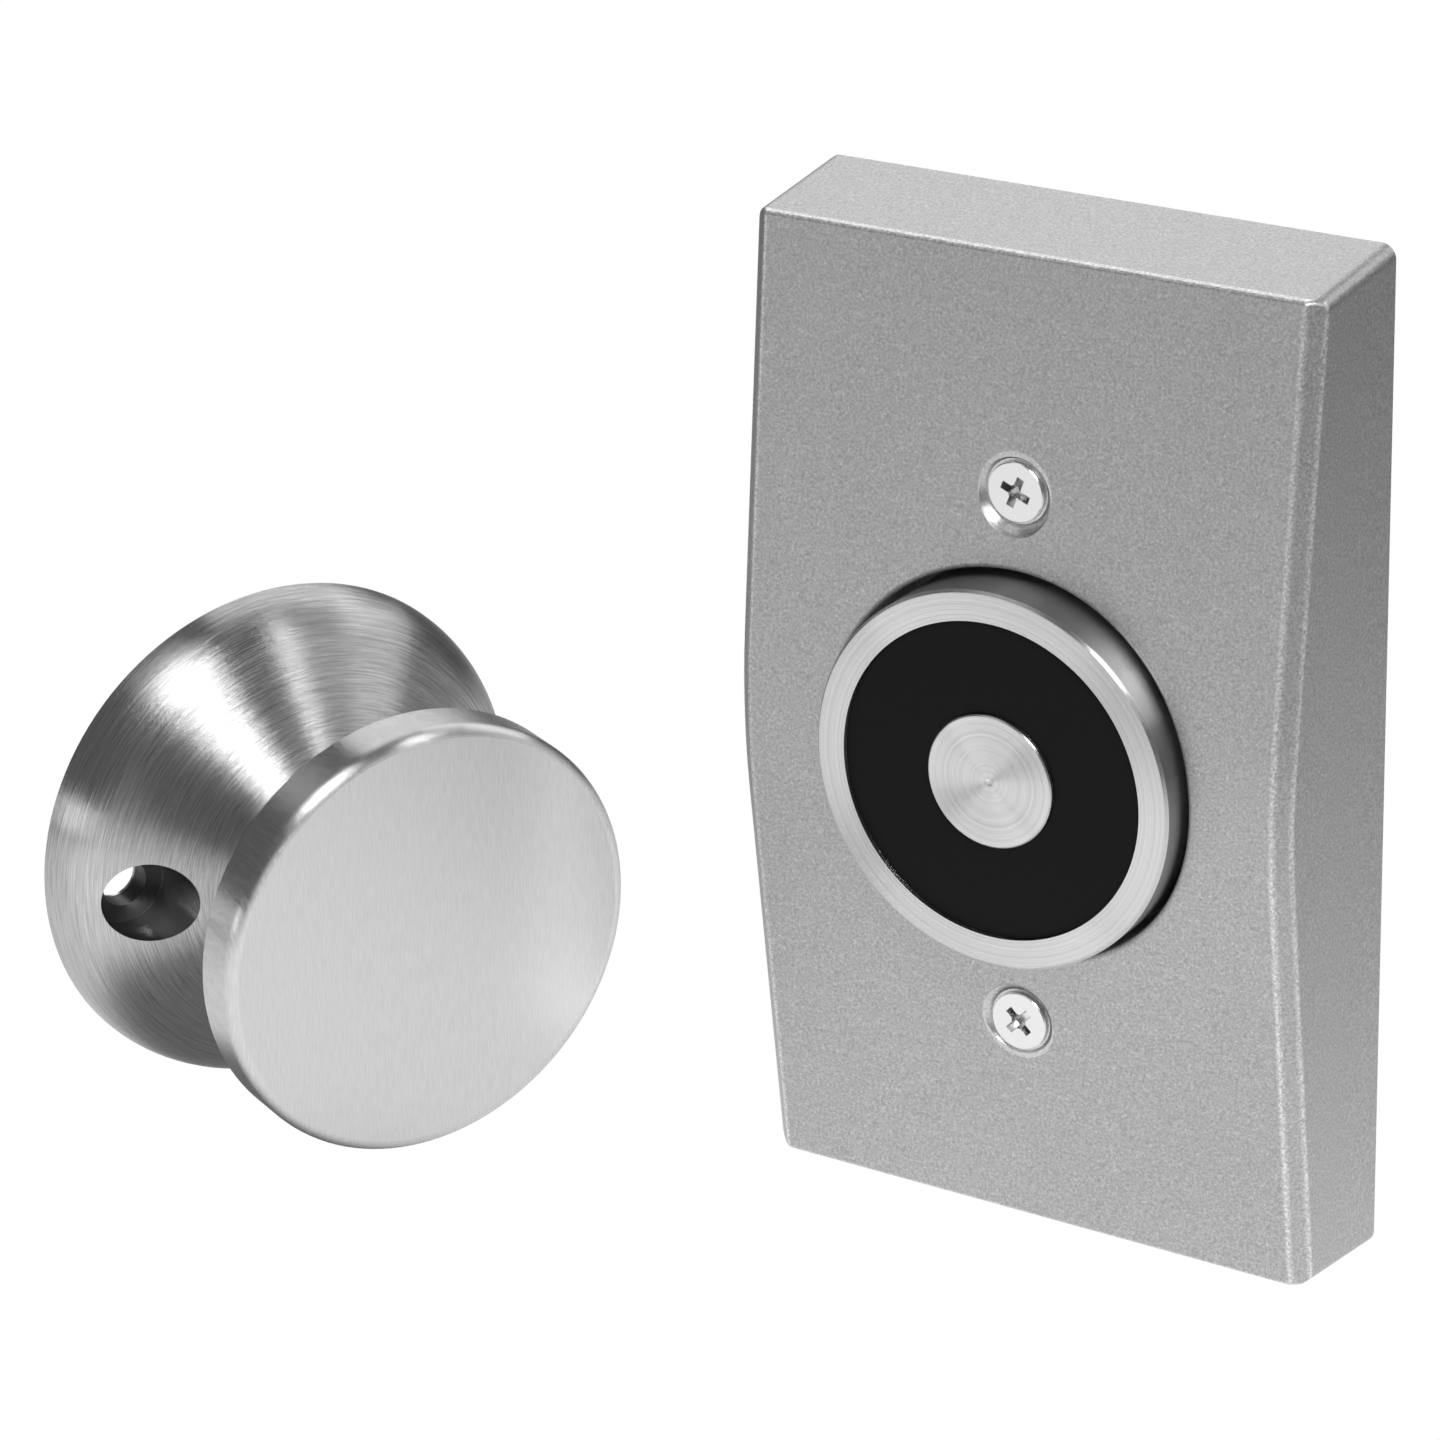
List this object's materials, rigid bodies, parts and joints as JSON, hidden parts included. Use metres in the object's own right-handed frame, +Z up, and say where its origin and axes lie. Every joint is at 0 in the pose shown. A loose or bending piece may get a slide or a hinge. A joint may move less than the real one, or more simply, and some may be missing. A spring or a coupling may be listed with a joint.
{
  "type": "electromagnetic door holder",
  "caption": "Wall electromagnet under a bowed cast cover plate, with a self-aligning steel disc on a flared round base that is screwed to the door.",
  "frame": {"origin": "on the wall plane, midway between the two box screws, on the magnet's axis", "axes": "+X to the right along the wall, +Y into the wall (the magnet faces -Y), +Z up"},
  "size_m": [0.143, 0.0817, 0.1142],
  "materials": {
    "cast_cover": "cast, fine satin lacquer",
    "cast_base": "cast and turned, satin bright",
    "plated_steel": "turned, nickel plated, satin",
    "disc_steel": "ground and nickel plated, satin",
    "screw_steel": "nickel plated, bright",
    "zinc_steel": "zinc plated",
    "spring_steel": "blued spring steel",
    "potting": "poured epoxy, flat black",
    "bobbin_nylon": "moulded nylon, natural",
    "copper_wire": "enamelled copper wire",
    "pin_brass": "tinned brass",
    "standoff_brass": "turned brass",
    "board_laminate": "glass epoxy, green solder mask",
    "terminal_nylon": "moulded nylon, green",
    "bridge_epoxy": "moulded epoxy, black",
    "can_sleeve": "shrunk sleeve over an aluminium can",
    "varistor_epoxy": "dipped epoxy, blue",
    "seat_acetal": "moulded acetal, white"
  },
  "bodies": {
    "holder": {"cover": "cast_cover", "cover_screws": "screw_steel", "magnet_pot": "plated_steel", "magnet_core": "plated_steel", "potting_ring": "potting", "coil_bobbin": "bobbin_nylon", "coil_winding": "copper_wire", "coil_pins": "pin_brass", "core_screw": "zinc_steel", "lock_washer": "spring_steel", "mounting_bracket": "zinc_steel", "board_standoffs": "standoff_brass", "board_screws": "zinc_steel", "circuit_board": "board_laminate", "terminal_block": "terminal_nylon", "terminal_screws": "zinc_steel", "bridge_rectifier": "bridge_epoxy", "capacitor": "can_sleeve", "varistor": "varistor_epoxy", "disc_spring": "spring_steel", "retaining_ring": "spring_steel", "door_base": "cast_base"},
    "ball_seat": {"swivel_seat": "seat_acetal"},
    "armature": {"armature_plate": "disc_steel", "ball_stud": "zinc_steel"}
  },
  "joints": [
    {"name": "disc_swivel", "type": "hinge", "parent": "holder", "child": "ball_seat", "pos_m": [-0.0784, -0.03118, -0.02803], "axis": [0.9169, -0.3968, -0.0419], "continuous": true},
    {"name": "disc_tilt", "type": "hinge", "parent": "ball_seat", "child": "armature", "pos_m": [-0.0784, -0.03118, -0.02803], "axis": [0.3971, 0.9178, 0], "range_deg": [-8, 8]}
  ]
}
